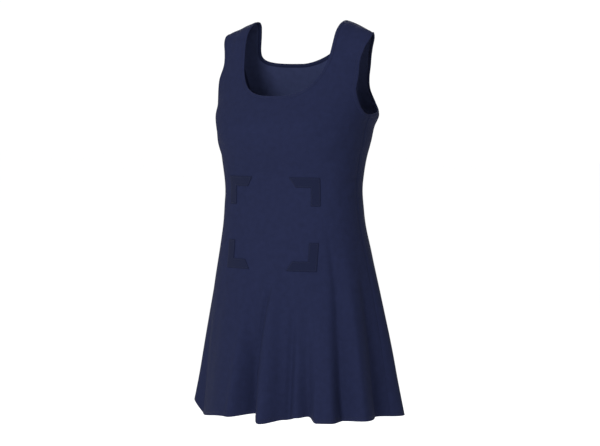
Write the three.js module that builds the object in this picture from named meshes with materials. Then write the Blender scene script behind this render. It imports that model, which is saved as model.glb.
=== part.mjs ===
// A women's sleeveless netball dress, filled out as it is worn: a scoop neck, wide straps, a fitted
// body and a flared skirt that falls in flutes. Units are millimetres and +Z is up. The front faces
// -Y and the wearer's left is +X. The origin is where the shoulders carry the dress: midway between
// the two shoulder seams, at the height of the neck points.
import * as THREE from "three";

// Driving dimensions
const DRESS_LENGTH = 822; // neck point of the shoulder down to the hem
const NECK_HALF = 107; // half the neck opening at the shoulder seam
const FRONT_NECK_DROP = 156;
const BACK_NECK_DROP = 90;
const FRONT_NECK_POWER = 0.66; // 1 is an oval, and less is squarer
const BACK_NECK_POWER_RIGHT = 0.54;
const BACK_NECK_POWER_LEFT = 1.25;
const BACK_NECK_BULGE = 12; // how much the back neckline widens below the shoulder
const BACK_NECK_SKEW = -24; // the back neckline hangs a little to the wearer's right
const UNDERARM_DOWN = 192;
const WALL = 1.6; // double-knit polyester, with its own body
const SEAM_GAP = 0.3; // between pieces that are sewn together
const BINDING_WIDTH = 8;
const BINDING_THICKNESS = 2.6; // the panel's edge wrapped in a strip of the same cloth
const TAPE_WIDTH = 20; // hook-and-loop tape that holds the position patch
const TAPE_THICKNESS = 1.4;
const TAPE_GAP = 0.5; // between a tape and the panel under it
const PATCH_WIDTH = 222; // outer size of the four tape corners together
const PATCH_HEIGHT = 190;
const TAPE_ACROSS_ARM = 66; // outer length of an arm that lies across the body
const TAPE_DOWN_ARM = 58;
const TAPE_SLANT = 13; // how far the end of an arm is cut back
const PATCH_CENTRE_DOWN = 416;

// The form that the cloth takes, one row for each level from the hem up to the shoulder ridge.
// half: half the width. front, back: how far the centre front and the centre back stand off the
// plane of the neck points. mid: Y of the widest line. square: how much fuller than an ellipse the
// section is, in front and behind. slope: how far the level follows the slope of the shoulder.
const FORM = [
  { down: 822, half: 221, front: 176, back: 160, mid: -10, square: 0.04, squareBack: 0.04, slope: 0 },
  { down: 752, half: 212, front: 170, back: 144, mid: -13, square: 0.05, squareBack: 0.05, slope: 0 },
  { down: 680, half: 204, front: 162, back: 128, mid: -17, square: 0.06, squareBack: 0.06, slope: 0 },
  { down: 608, half: 194, front: 153, back: 110, mid: -22, square: 0.07, squareBack: 0.07, slope: 0 },
  { down: 540, half: 183, front: 142, back: 94, mid: -27, square: 0.08, squareBack: 0.08, slope: 0 },
  { down: 476, half: 170, front: 133, back: 78, mid: -31, square: 0.1, squareBack: 0.09, slope: 0 },
  { down: 424, half: 160, front: 127, back: 66, mid: -35, square: 0.12, squareBack: 0.1, slope: 0 },
  { down: 384, half: 156, front: 124, back: 60, mid: -37, square: 0.13, squareBack: 0.11, slope: 0 },
  { down: 348, half: 154, front: 123, back: 58, mid: -38, square: 0.13, squareBack: 0.11, slope: 0 },
  { down: 314, half: 156, front: 127, back: 63, mid: -38, square: 0.14, squareBack: 0.12, slope: 0 },
  { down: 282, half: 160, front: 137, back: 70, mid: -37, square: 0.13, squareBack: 0.13, slope: 0 },
  { down: 250, half: 167, front: 147, back: 77, mid: -35, square: 0.13, squareBack: 0.15, slope: 0 },
  { down: 220, half: 171, front: 150, back: 80, mid: -33, square: 0.13, squareBack: 0.19, slope: 0 },
  { down: 194, half: 178, front: 138, back: 77, mid: -30, square: 0.12, squareBack: 0.28, slope: 0.02 },
  { down: 168, half: 177, front: 121, back: 70, mid: -33, square: 0.09, squareBack: 0.21, slope: 0.08 },
  { down: 140, half: 178, front: 104, back: 60, mid: -40, square: 0.05, squareBack: 0.12, slope: 0.2 },
  { down: 112, half: 183, front: 88, back: 48, mid: -33, square: 0.03, squareBack: 0.07, slope: 0.42 },
  { down: 80, half: 188, front: 76, back: 34, mid: -11, square: 0, squareBack: 0.04, slope: 0.7 },
  { down: 48, half: 190, front: 66, back: 23, mid: -1, square: 0, squareBack: 0, slope: 0.9 },
  { down: 24, half: 190, front: 53, back: 16, mid: 0, square: 0, squareBack: 0, slope: 1 },
  { down: 7, half: 190, front: 30, back: 11, mid: 0, square: 0, squareBack: 0, slope: 1 },
  { down: 0, half: 190, front: 0, back: 0, mid: 0, square: 0, squareBack: 0, slope: 1 },
];
const RIDGE = FORM.length - 1;

// The shoulder seam falls away from the neck point, a little faster towards its end, and leans
// forwards.
const SHOULDER_FALL = 0.36;
const SHOULDER_ROUND = 0.0012;
const SHOULDER_LEAN = 0.21;
const SHOULDER_SOFT = 20; // how gently the fall begins beside the neck

// The crests and troughs of the flutes at the hem, round from the centre front towards the wearer's
// left. at: degrees. push: out of the form at the hem. top: the level where it begins. lift: how far
// the hem rises there.
const FLUTES = [
  { at: -100, push: -14, top: 450, lift: 10 },
  { at: -78, push: 18, top: 560, lift: 26 },
  { at: -66, push: 16, top: 560, lift: 20 },
  { at: -54, push: -1, top: 500, lift: -4 },
  { at: -16, push: 13, top: 500, lift: 8 },
  { at: -6, push: -20, top: 490, lift: 17 },
  { at: 4, push: 20, top: 490, lift: 1 },
  { at: 14, push: -15, top: 510, lift: 10 },
  { at: 22, push: -8, top: 530, lift: 16 },
  { at: 28, push: -18, top: 550, lift: 19 },
  { at: 34, push: 15, top: 550, lift: 8 },
  { at: 42, push: 19, top: 540, lift: 8 },
  { at: 51, push: -14, top: 430, lift: 11 },
  { at: 63, push: 16, top: 430, lift: 10 },
  { at: 81, push: -15, top: 430, lift: 14 },
  { at: 99, push: 16, top: 450, lift: 8 },
  { at: 116, push: -14, top: 470, lift: 12 },
  { at: 134, push: 16, top: 500, lift: 7 },
  { at: 150, push: -14, top: 520, lift: 14 },
  { at: 167, push: 17, top: 540, lift: 6 },
  { at: 184, push: -14, top: 560, lift: 12 },
  { at: 201, push: 15, top: 540, lift: 7 },
  { at: 218, push: -15, top: 500, lift: 13 },
  { at: 238, push: 16, top: 480, lift: 8 },
];
const FLUTE_GROWTH = 1.2;

// The finished edge of the armhole, from the shoulder end down to the side seam.
// turn: degrees round from the centre of the panel.
const FRONT_ARMHOLE = [
  { down: 0, turn: 71.5 },
  { down: 38, turn: 64 },
  { down: 72, turn: 61.5 },
  { down: 108, turn: 66.5 },
  { down: 142, turn: 70.5 },
  { down: 170, turn: 75.5 },
  { down: 187, turn: 82 },
  { down: UNDERARM_DOWN, turn: 90 },
];
const BACK_ARMHOLE = [
  { down: 0, turn: 71.5 },
  { down: 38, turn: 63.5 },
  { down: 72, turn: 58.5 },
  { down: 108, turn: 56.5 },
  { down: 140, turn: 56 },
  { down: 165, turn: 59.5 },
  { down: 182, turn: 66 },
  { down: 190, turn: 77 },
  { down: UNDERARM_DOWN, turn: 90 },
];

// Mesh counts, of half a panel
const NECK_COLUMNS = 11; // those that end at the neckline
const STRAP_COLUMNS = 6;
const ARMHOLE_COLUMNS = 7; // those that end at the armhole
const BODY_COLUMNS = NECK_COLUMNS + STRAP_COLUMNS + ARMHOLE_COLUMNS;
const BODY_ROWS = 20;
const STRAP_ROWS = 10;
const NECK_CORNER = 0.5; // where the neckline turns up into the strap, as a share of its run
const FRONT_STRAP_BASE = 0.5; // where the strap begins on the armhole, as a share of its run
const BACK_STRAP_BASE = 0.5;
const TAPE_CELL = 10;
const TAPE_ARC_STEPS = 12;
const CENTRE_LEAN = 6; // how late the middle column of the back turns to meet the skewed neckline
const CURVE_SAMPLES = 120;

const RADIAN = Math.PI / 180;
const FRONT = -1;
const BACK = 1;
const STEP = 0.02; // of a level or of a degree, to measure a slope

const mix = (a, b, share) => a + (b - a) * share;
const numbers = (count) => Array.from({ length: count }, (_, index) => index);

// A smooth curve through four values in a row, from the second to the third.
function spline(a, b, c, d, share) {
  const bend = 2 * a - 5 * b + 4 * c - d + (3 * (b - c) + d - a) * share;
  return b + 0.5 * share * (c - a + share * bend);
}

// The value between low and high where a rising function passes zero.
function rootOf(rising, low, high) {
  for (let step = 0; step < 40; step++) {
    const middle = (low + high) / 2;
    if (rising(middle) < 0) low = middle;
    else high = middle;
  }
  return (low + high) / 2;
}

// A row of the form, carried on past either end: straight on below the hem, and over the ridge to
// the other side above it.
function formRow(index) {
  if (index < 0) {
    const next = {};
    for (const key of Object.keys(FORM[0])) next[key] = 2 * FORM[0][key] - FORM[1][key];
    return next;
  }
  if (index <= RIDGE) return FORM[index];
  const row = FORM[2 * RIDGE - index];
  return { ...row, front: -row.front, back: -row.back };
}

// The form at a level, counted in rows of the table.
function formAt(level) {
  const from = Math.floor(level);
  const rows = [-1, 0, 1, 2].map((step) => formRow(from + step));
  const made = {};
  for (const key of Object.keys(FORM[0])) {
    made[key] = spline(...rows.map((row) => row[key]), level - from);
  }
  return made;
}

const levelOf = (down) => rootOf((level) => down - formAt(level).down, 0, RIDGE);

// How far out from the neck point a width x is, with a soft start.
function beyondNeck(x) {
  const soft = (out) => (out + Math.hypot(out, SHOULDER_SOFT)) / 2;
  return soft(Math.abs(x) - NECK_HALF) - soft(0);
}

// How far the flutes stand out of the form, and how far they lift it, at an angle all round.
function fluteAt(around, down) {
  const angle = (((around - FLUTES[0].at) % 360) + 360) % 360;
  const start = (index) => (index < FLUTES.length ? FLUTES[index].at - FLUTES[0].at : 360);
  let index = 0;
  while (start(index + 1) <= angle) index += 1;
  const share = (angle - start(index)) / (start(index + 1) - start(index));
  const soft = (1 - Math.cos(Math.PI * share)) / 2;
  const reach = (flute) => {
    const grown = Math.max(0, (down - flute.top) / (DRESS_LENGTH - flute.top)) ** FLUTE_GROWTH;
    return { push: flute.push * grown, lift: flute.lift * grown * grown };
  };
  const one = reach(FLUTES[index]);
  const two = reach(FLUTES[(index + 1) % FLUTES.length]);
  return { push: mix(one.push, two.push, soft), lift: mix(one.lift, two.lift, soft) };
}

// The form before the flutes, at a place: {level, turn}, the turn in degrees from the centre line.
function formPoint({ level, turn }, side) {
  const row = formAt(level);
  const sine = Math.sin(turn * RADIAN);
  const cosine = Math.cos(turn * RADIAN);
  const square = side === FRONT ? row.square : row.squareBack;
  const reach = side === FRONT ? row.front + row.mid : row.back - row.mid;
  const x = row.half * sine * (1 + square * cosine * cosine);
  const out = beyondNeck(x);
  const y = row.mid + side * reach * cosine * (1 + square * sine * sine);
  const fall = out * (SHOULDER_FALL + out * SHOULDER_ROUND);
  return new THREE.Vector3(x, y - row.slope * out * SHOULDER_LEAN, -row.down - row.slope * fall);
}

// The slopes of a surface, up it and across it.
function slopes(surface, { level, turn }, side) {
  const up = surface({ level: level + STEP, turn }, side);
  const across = surface({ level, turn: turn + STEP }, side);
  up.sub(surface({ level: level - STEP, turn }, side)).divideScalar(2 * STEP);
  across.sub(surface({ level, turn: turn - STEP }, side)).divideScalar(2 * STEP);
  return { up, across, out: up.clone().cross(across).multiplyScalar(side).normalize() };
}

// The cloth at a place, a distance out of its outer face.
function clothPoint(place, side, out = 0) {
  const point = formPoint(place, side);
  const around = side === FRONT ? place.turn : 180 - place.turn;
  const flute = fluteAt(around, formAt(place.level).down);
  if (flute.push !== 0) point.addScaledVector(slopes(formPoint, place, side).out, flute.push);
  point.z += flute.lift;
  if (out !== 0) point.addScaledVector(slopes(clothPoint, place, side).out, out);
  return point;
}

// The turn where the form is a width x from the middle at a level.
function turnOf(level, x, side) {
  return rootOf((turn) => formPoint({ level, turn }, side).x - x, -90, 90);
}

// Marks along a line of places, counted in its steps and evenly spaced over the cloth.
function evenMarks(line, count, side) {
  const points = line.map((place) => clothPoint(place, side));
  const along = [0];
  for (let k = 1; k < line.length; k++) along.push(along[k - 1] + points[k].distanceTo(points[k - 1]));
  let k = 0;
  return numbers(count + 1).map((n) => {
    const target = (along[along.length - 1] * n) / count;
    while (k < line.length - 2 && along[k + 1] < target) k += 1;
    return k + (target - along[k]) / (along[k + 1] - along[k]);
  });
}

function placeAt(line, mark) {
  const from = Math.min(Math.floor(mark), line.length - 2);
  const [one, two] = [line[from], line[from + 1]];
  return { level: mix(one.level, two.level, mark - from), turn: mix(one.turn, two.turn, mark - from) };
}

const evenly = (line, count, side) => evenMarks(line, count, side).map((mark) => placeAt(line, mark));

// A line of places moved sideways over the cloth, to the left of its run as seen from outside.
function aside(line, distance, side) {
  return line.map((place, k) => {
    const before = clothPoint(line[Math.max(0, k - 1)], side);
    const run = clothPoint(line[Math.min(line.length - 1, k + 1)], side).sub(before);
    const { up, across, out } = slopes(clothPoint, place, side);
    const move = out.cross(run).normalize().multiplyScalar(distance);
    const area = up.dot(up) * across.dot(across) - up.dot(across) ** 2;
    const level = (move.dot(up) * across.dot(across) - move.dot(across) * up.dot(across)) / area;
    const turn = (move.dot(across) * up.dot(up) - move.dot(up) * up.dot(across)) / area;
    return { level: place.level + level, turn: place.turn + turn };
  });
}

// The finished neck edge on one half, as if on the wearer's left, from the centre line to the
// shoulder seam, a distance out from the opening. Its outline is a squared oval.
function neckLine(side, mirror, distance) {
  const drop = side === FRONT ? FRONT_NECK_DROP : BACK_NECK_DROP;
  const backPower = mirror > 0 ? BACK_NECK_POWER_LEFT : BACK_NECK_POWER_RIGHT;
  const power = side === FRONT ? FRONT_NECK_POWER : backPower;
  const bulge = side === FRONT ? 0 : BACK_NECK_BULGE;
  const skew = side === FRONT ? 0 : mirror * BACK_NECK_SKEW;
  const line = numbers(CURVE_SAMPLES + 1).map((k) => {
    const angle = (1 - k / CURVE_SAMPLES) * (Math.PI / 2);
    const round = NECK_HALF * Math.cos(angle) ** power + bulge * Math.sin(2 * angle);
    const level = levelOf(drop * Math.sin(angle) ** power);
    return { level, turn: turnOf(level, round + skew * Math.sin(angle) ** 2, side) };
  });
  const moved = aside(line, side * distance, side);
  moved[0].turn = line[0].turn;
  moved[CURVE_SAMPLES].level = RIDGE;
  return moved;
}

// The finished armhole edge on one half, as if on the wearer's left, from the side seam to the
// shoulder seam, a distance in from the opening.
function armholeLine(side, distance) {
  const table = side === FRONT ? FRONT_ARMHOLE : BACK_ARMHOLE;
  const last = table.length - 1;
  const beyond = { down: -table[1].down, turn: table[1].turn };
  const across = { down: table[last - 1].down, turn: 180 - table[last - 1].turn };
  const rows = [beyond, ...table, across];
  const line = numbers(CURVE_SAMPLES + 1).map((k) => {
    const place = (1 - k / CURVE_SAMPLES) * last;
    const from = Math.min(Math.floor(place), last - 1);
    const near = rows.slice(from, from + 4);
    const down = spline(...near.map((row) => row.down), place - from);
    const turn = spline(...near.map((row) => row.turn), place - from);
    return { level: levelOf(Math.max(0, down)), turn };
  });
  const moved = aside(line, -side * distance, side);
  moved[0].turn = 90;
  moved[CURVE_SAMPLES].level = RIDGE;
  return moved;
}

// The places of the mesh along an edge: evenly spaced as far as the strap, and again along it. They
// lie side by side at every distance from the opening.
function edgeStations(lineAt, splitShare, lowCount, side, distance) {
  const split = Math.round(CURVE_SAMPLES * splitShare);
  const guide = lineAt(BINDING_WIDTH);
  const line = lineAt(distance);
  const low = evenMarks(guide.slice(0, split + 1), lowCount, side);
  const high = evenMarks(guide.slice(split), STRAP_ROWS, side);
  return {
    low: low.map((mark) => placeAt(line, mark)),
    high: high.map((mark) => placeAt(line, split + mark)),
  };
}

function neckStations(side, mirror, distance) {
  const lineAt = (away) => neckLine(side, mirror, away);
  return edgeStations(lineAt, NECK_CORNER, NECK_COLUMNS, side, distance);
}

function armholeStations(side, mirror, distance) {
  const lineAt = (away) => armholeLine(side, away);
  const base = side === FRONT ? FRONT_STRAP_BASE : BACK_STRAP_BASE;
  return edgeStations(lineAt, base, ARMHOLE_COLUMNS, side, distance);
}

// A closed solid from points and polygons, with its faces pointing out.
function solid(points, polygons) {
  const triangles = [];
  for (const corners of polygons) {
    for (let k = 2; k < corners.length; k++) triangles.push([corners[0], corners[k - 1], corners[k]]);
  }
  const volume = (corners) => {
    const [a, b, c] = corners.map((corner) => points[corner]);
    return a.dot(b.clone().cross(c));
  };
  const inside = triangles.reduce((sum, corners) => sum + volume(corners), 0) < 0;
  const geometry = new THREE.BufferGeometry();
  geometry.setFromPoints(points);
  geometry.setIndex(triangles.flatMap(([a, b, c]) => (inside ? [a, c, b] : [a, b, c])));
  geometry.computeVertexNormals();
  return geometry;
}

// A wall between two layers of points, closed along its free edges. The quads name the points of a
// layer, and both layers are split along the shorter diagonal.
function wall(outer, inner, quads) {
  const faces = [];
  const edges = new Map();
  for (const [a, b, c, d] of quads) {
    const turned = outer[b].distanceTo(outer[d]) < outer[a].distanceTo(outer[c]);
    const corners = turned ? [b, c, d, a] : [a, b, c, d];
    const [first, ...others] = corners.map((corner) => corner + outer.length);
    faces.push(corners, [first, ...others.reverse()]);
    corners.forEach((from, k) => {
      const to = corners[(k + 1) % corners.length];
      if (!edges.delete(`${to},${from}`)) edges.set(`${from},${to}`, [from, to]);
    });
  }
  for (const [from, to] of edges.values()) {
    faces.push([to, from, from + outer.length, to + outer.length]);
  }
  return solid([...outer, ...inner], faces);
}

// A place on a seam, pulled back from it by half the gap there.
function atSideSeam(level, side) {
  const { across } = slopes(clothPoint, { level, turn: 90 }, side);
  return { level, turn: 90 - SEAM_GAP / 2 / across.length() };
}

function atShoulderSeam(turn, side) {
  const { up } = slopes(clothPoint, { level: RIDGE, turn }, side);
  return { level: RIDGE - SEAM_GAP / 2 / up.length(), turn };
}

// A grid of places between four sides that meet at their ends: bottom and top run across, left and
// right run up.
function between(bottom, top, left, right) {
  const columns = bottom.length - 1;
  const rows = left.length - 1;
  const blend = (key, row, column) => {
    const u = column / columns;
    const v = row / rows;
    const low = mix(bottom[0][key], bottom[columns][key], u);
    const high = mix(top[0][key], top[columns][key], u);
    const sides = mix(left[row][key], right[row][key], u);
    return mix(bottom[column][key], top[column][key], v) + sides - mix(low, high, v);
  };
  return left.map((_, row) =>
    bottom.map((_, column) => ({ level: blend("level", row, column), turn: blend("turn", row, column) })),
  );
}

// Half a panel, as rows of places from the hem up and from the centre line out. The body ends at
// the neckline, at the foot of the strap and under the arm, and the strap goes on to the shoulder.
function halfPanel(side, mirror) {
  const neck = neckStations(side, mirror, BINDING_WIDTH + SEAM_GAP);
  const armhole = armholeStations(side, mirror, BINDING_WIDTH + SEAM_GAP);
  armhole.low[0] = atSideSeam(armhole.low[0].level, side);
  neck.high[STRAP_ROWS] = atShoulderSeam(neck.high[STRAP_ROWS].turn, side);
  armhole.high[STRAP_ROWS] = atShoulderSeam(armhole.high[STRAP_ROWS].turn, side);
  const strapBase = evenly([neck.high[0], armhole.high[0]], STRAP_COLUMNS, side);
  const shoulder = evenly([neck.high[STRAP_ROWS], armhole.high[STRAP_ROWS]], STRAP_COLUMNS, side);

  const rows = numbers(BODY_ROWS + 1).map((k) => k / BODY_ROWS);
  const sideSeam = rows.map((share) => atSideSeam(armhole.low[0].level * share, side));
  const centre = rows.map((share) => ({
    level: neck.low[0].level * share,
    turn: neck.low[0].turn * share ** CENTRE_LEAN,
  }));
  const hem = numbers(BODY_COLUMNS + 1).map((k) => ({ level: 0, turn: (90 * k) / BODY_COLUMNS }));
  hem[BODY_COLUMNS] = sideSeam[0];
  const top = [...neck.low, ...strapBase.slice(1), ...armhole.low.slice(0, -1).reverse()];
  const body = between(hem, top, centre, sideSeam);
  const strap = between(strapBase, shoulder, neck.high, armhole.high);
  return { body, strap };
}

function panel(side) {
  const places = [];
  const quads = [];
  const add = ({ level, turn }) => places.push({ level, turn }) - 1;
  let middle;
  for (const mirror of [1, -1]) {
    const fill = (grid) => {
      for (let row = 1; row < grid.length; row++) {
        for (let column = 1; column < grid[row].length; column++) {
          const [low, high] = [grid[row - 1], grid[row]];
          const quad = [low[column - 1], low[column], high[column], high[column - 1]];
          quads.push(mirror > 0 ? quad : quad.reverse());
        }
      }
    };
    const name = (row) => row.map(({ level, turn }) => add({ level, turn: mirror * turn }));
    const { body, strap } = halfPanel(side, mirror);
    const names = mirror > 0 ? body.map(name) : body.map((row, k) => [middle[k], ...name(row.slice(1))]);
    middle = names.map((row) => row[0]);
    fill(names);
    const strapFoot = names[BODY_ROWS].slice(NECK_COLUMNS, NECK_COLUMNS + STRAP_COLUMNS + 1);
    fill([strapFoot, ...strap.slice(1).map(name)]);
  }
  const layer = (out) => places.map((place) => clothPoint(place, side, out));
  return wall(layer(0), layer(-WALL), quads);
}

// The section of a binding, from the finished edge inwards: it wraps both faces of the panel's edge.
const PROUD = (BINDING_THICKNESS - WALL) / 2;
const BINDING_SECTION = [
  { across: 0, out: -WALL / 2 },
  { across: 1, out: PROUD },
  { across: BINDING_WIDTH, out: PROUD },
  { across: BINDING_WIDTH, out: -WALL - PROUD },
  { across: 1, out: -WALL - PROUD },
];

// The rings of a binding's section along its run on one panel, up to the shoulder seam.
function bindingRings(stations, side, mirror) {
  const corners = BINDING_SECTION.map(({ across, out }) => {
    const { low, high } = stations(side, mirror, across);
    const places = [...low, ...high.slice(1)];
    return places.map(({ level, turn }) => clothPoint({ level, turn: mirror * turn }, side, out));
  });
  return corners[0].map((_, k) => corners.map((points) => points[k]));
}

// A solid through rings that close on themselves.
function loop(rings) {
  const corners = rings[0].length;
  const polygons = rings.flatMap((_, k) => {
    const next = (k + 1) % rings.length;
    return numbers(corners).map((n) => {
      const after = (n + 1) % corners;
      return [k * corners + n, next * corners + n, next * corners + after, k * corners + after];
    });
  });
  return solid(rings.flat(), polygons);
}

function neckBinding() {
  const quarter = (side, mirror) => bindingRings(neckStations, side, mirror);
  return loop([
    ...quarter(FRONT, 1).slice(0, -1),
    ...quarter(BACK, 1).reverse().slice(0, -1),
    ...quarter(BACK, -1).slice(0, -1),
    ...quarter(FRONT, -1).reverse().slice(0, -1),
  ]);
}

function armholeBinding(mirror) {
  const half = (side) => bindingRings(armholeStations, side, mirror);
  return loop([...half(FRONT).slice(0, -1), ...half(BACK).reverse().slice(0, -1)]);
}

// A distance over the cloth from the centre line, at a level, as a place.
function placeAcross(distance, level, side) {
  const width = (turn) => {
    const steps = numbers(TAPE_ARC_STEPS + 1).map((k) => ({ level, turn: (turn * k) / TAPE_ARC_STEPS }));
    const points = steps.map((place) => clothPoint(place, side));
    return points.slice(1).reduce((sum, point, k) => sum + point.distanceTo(points[k]), 0);
  };
  const turn = rootOf((angle) => width(angle) - Math.abs(distance), 0, 89);
  return { level, turn: Math.sign(distance) * turn };
}

// A point of a layer that lies on a panel's own faces, a distance off them.
function onPanel(panelMesh, place, side, distance) {
  const { out } = slopes(clothPoint, place, side);
  const eye = clothPoint(place, side, TAPE_WIDTH);
  const [hit] = new THREE.Raycaster(eye, out.clone().negate()).intersectObject(panelMesh);
  return hit.point.addScaledVector(out, distance);
}

// One L-shaped corner of the tapes. outward and upward are 1 or -1, for the corner of the patch
// that it sits at; the arm across the body has a slanted end.
function tapeCorner(panelMesh, side, outward, upward) {
  const stations = (length) => {
    const cells = Math.round((length - TAPE_WIDTH) / TAPE_CELL);
    const far = numbers(cells).map((k) => TAPE_WIDTH + ((length - TAPE_WIDTH) * (k + 1)) / cells);
    return [0, TAPE_WIDTH / 2, TAPE_WIDTH, ...far];
  };
  const across = stations(TAPE_ACROSS_ARM);
  const down = stations(TAPE_DOWN_ARM);
  const places = [];
  const names = down.map((drop, row) =>
    across.map((run, column) => {
      if (row > 2 && column > 2) return null;
      const slant = (Math.max(0, run - TAPE_WIDTH) / (TAPE_ACROSS_ARM - TAPE_WIDTH)) * (drop / TAPE_WIDTH);
      const x = outward * (PATCH_WIDTH / 2 - run + (row > 2 ? 0 : slant * TAPE_SLANT));
      const level = levelOf(PATCH_CENTRE_DOWN - upward * (PATCH_HEIGHT / 2 - drop));
      return places.push(placeAcross(x, level, side)) - 1;
    }),
  );
  const quads = [];
  for (let row = 1; row < down.length; row++) {
    for (let column = 1; column < across.length; column++) {
      if (row > 2 && column > 2) continue;
      const [low, high] = [names[row - 1], names[row]];
      quads.push([low[column - 1], low[column], high[column], high[column - 1]]);
    }
  }
  const layer = (distance) => places.map((place) => onPanel(panelMesh, place, side, distance));
  return wall(layer(TAPE_GAP + TAPE_THICKNESS), layer(TAPE_GAP), quads);
}

// The cloth is a matt navy knit. The bindings and the tapes are a shade darker.
const FINISHES = {
  cloth: { color: "#272d49", roughness: 0.85, metalness: 0 },
  binding: { color: "#232941", roughness: 0.85, metalness: 0 },
  tape: { color: "#1d2238", roughness: 0.95, metalness: 0 },
};

const dress = new THREE.Group();

function addPiece(name, geometry, finish) {
  const mesh = new THREE.Mesh(geometry, new THREE.MeshStandardMaterial(FINISHES[finish]));
  mesh.name = name;
  dress.add(mesh);
  return mesh;
}

const frontPanel = addPiece("front_panel", panel(FRONT), "cloth");
const backPanel = addPiece("back_panel", panel(BACK), "cloth");
addPiece("neck_binding", neckBinding(), "binding");
addPiece("armhole_binding_left", armholeBinding(1), "binding");
addPiece("armhole_binding_right", armholeBinding(-1), "binding");
for (const [sideName, side, mesh] of [["front", FRONT, frontPanel], ["back", BACK, backPanel]]) {
  for (const [rowName, upward] of [["upper", 1], ["lower", -1]]) {
    for (const [endName, outward] of [["left", 1], ["right", -1]]) {
      const name = `tape_${sideName}_${rowName}_${endName}`;
      addPiece(name, tapeCorner(mesh, side, outward, upward), "tape");
    }
  }
}

export default dress;
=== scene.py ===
import math

import bpy
import numpy as np
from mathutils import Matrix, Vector


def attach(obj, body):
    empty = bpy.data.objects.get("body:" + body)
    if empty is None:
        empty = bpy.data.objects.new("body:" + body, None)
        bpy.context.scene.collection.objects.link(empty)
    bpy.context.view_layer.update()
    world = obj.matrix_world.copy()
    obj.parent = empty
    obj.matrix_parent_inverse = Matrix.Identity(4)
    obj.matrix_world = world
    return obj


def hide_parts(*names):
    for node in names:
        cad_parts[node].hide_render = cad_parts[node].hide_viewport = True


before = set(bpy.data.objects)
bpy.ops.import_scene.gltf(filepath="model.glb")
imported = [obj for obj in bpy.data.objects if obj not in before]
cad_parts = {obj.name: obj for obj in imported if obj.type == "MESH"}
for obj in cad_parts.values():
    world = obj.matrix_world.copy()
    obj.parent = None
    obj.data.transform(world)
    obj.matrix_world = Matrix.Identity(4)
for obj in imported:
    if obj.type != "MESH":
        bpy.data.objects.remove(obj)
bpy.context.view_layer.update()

# The studio. The dress hangs at shoulder height over a plain white floor, filled out as on a
# wearer, and is seen from a little to its left through a long lens, as product shots are.
# A broad soft light stands in front of it, a weaker one behind, and a white room fills the shadows.
MM = 0.001
CAMERA_TURN = math.radians(32)
CAMERA_AWAY = 4200
CAMERA_ABOVE = 275.1
AIM_ASIDE = -5.25
AIM_HEIGHT = -422.1
CAMERA_LENS = 120.3
FLOOR_DOWN = 1400
FLOOR_SIDE = 60


def hex_color(text):
    """An sRGB hex colour as the linear values that a shader takes."""
    parts = [int(text[k:k + 2], 16) / 255 for k in (1, 3, 5)]
    linear = [p / 12.92 if p <= 0.04045 else ((p + 0.055) / 1.055) ** 2.4 for p in parts]
    return (*linear, 1.0)


def new_material(name):
    made = bpy.data.materials.new(name)
    made.use_nodes = True
    made.node_tree.nodes.clear()
    return made


def add_node(tree, kind, settings=(), links=()):
    """Adds a node, with its settings by attribute or socket name and its links by socket name."""
    made = tree.nodes.new(kind)
    for name, value in dict(settings).items():
        if hasattr(made, name):
            setattr(made, name, value)
        else:
            made.inputs[name].default_value = value
    for name, source in dict(links).items():
        tree.links.new(source, made.inputs[name])
    return made


aim = Vector((AIM_ASIDE * math.cos(CAMERA_TURN), AIM_ASIDE * math.sin(CAMERA_TURN), AIM_HEIGHT)) * MM
towards = Vector((math.sin(CAMERA_TURN), -math.cos(CAMERA_TURN), 0))
away = (towards * CAMERA_AWAY + Vector((0, 0, CAMERA_ABOVE))) * MM
camera = bpy.data.objects.new("camera", bpy.data.cameras.new("camera"))
camera.data.lens = CAMERA_LENS
camera.data.sensor_width = 36
camera.data.clip_end = 100
camera.location = aim + away
camera.rotation_mode = "QUATERNION"
camera.rotation_quaternion = (-away).to_track_quat("-Z", "Y")
bpy.context.scene.collection.objects.link(camera)
bpy.context.scene.camera = camera
bpy.context.scene.view_settings.view_transform = "Standard"

# Painted plywood floor, matt white
floor_paint = new_material("matt_white_floor_paint")
shader = add_node(
    floor_paint.node_tree, "ShaderNodeBsdfDiffuse", {"Color": hex_color("#fbfbfb")}
)
add_node(floor_paint.node_tree, "ShaderNodeOutputMaterial", links={"Surface": shader.outputs[0]})
half = FLOOR_SIDE / 2
floor_mesh = bpy.data.meshes.new("studio_floor")
floor_mesh.from_pydata(
    [(-half, -half, 0), (half, -half, 0), (half, half, 0), (-half, half, 0)], [], [(0, 1, 2, 3)]
)
floor_mesh.materials.append(floor_paint)
floor = bpy.data.objects.new("studio_floor", floor_mesh)
floor.location.z = -FLOOR_DOWN * MM
bpy.context.scene.collection.objects.link(floor)

room = bpy.data.worlds.new("white_room")
room.use_nodes = True
room.node_tree.nodes["Background"].inputs["Color"].default_value = (1, 1, 1, 1)
room.node_tree.nodes["Background"].inputs["Strength"].default_value = 1.04
bpy.context.scene.world = room


def soft_box(name, azimuth, elevation, distance, size, power):
    """A square area light that faces the middle of the dress from that direction."""
    turn, rise = math.radians(azimuth), math.radians(elevation)
    middle = Vector((0, 0, AIM_HEIGHT * MM))
    back = Vector((math.sin(turn) * math.cos(rise), -math.cos(turn) * math.cos(rise), math.sin(rise)))
    light = bpy.data.lights.new(name, "AREA")
    light.energy = power
    light.size = size
    made = bpy.data.objects.new(name, light)
    made.location = middle + back * distance
    made.rotation_mode = "QUATERNION"
    made.rotation_quaternion = (-back).to_track_quat("-Z", "Y")
    bpy.context.scene.collection.objects.link(made)


soft_box("key_soft_box", 4, 22, 3.0, 1.0, 118)
soft_box("back_soft_box", 205, 34, 3.0, 1.3, 70)

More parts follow.
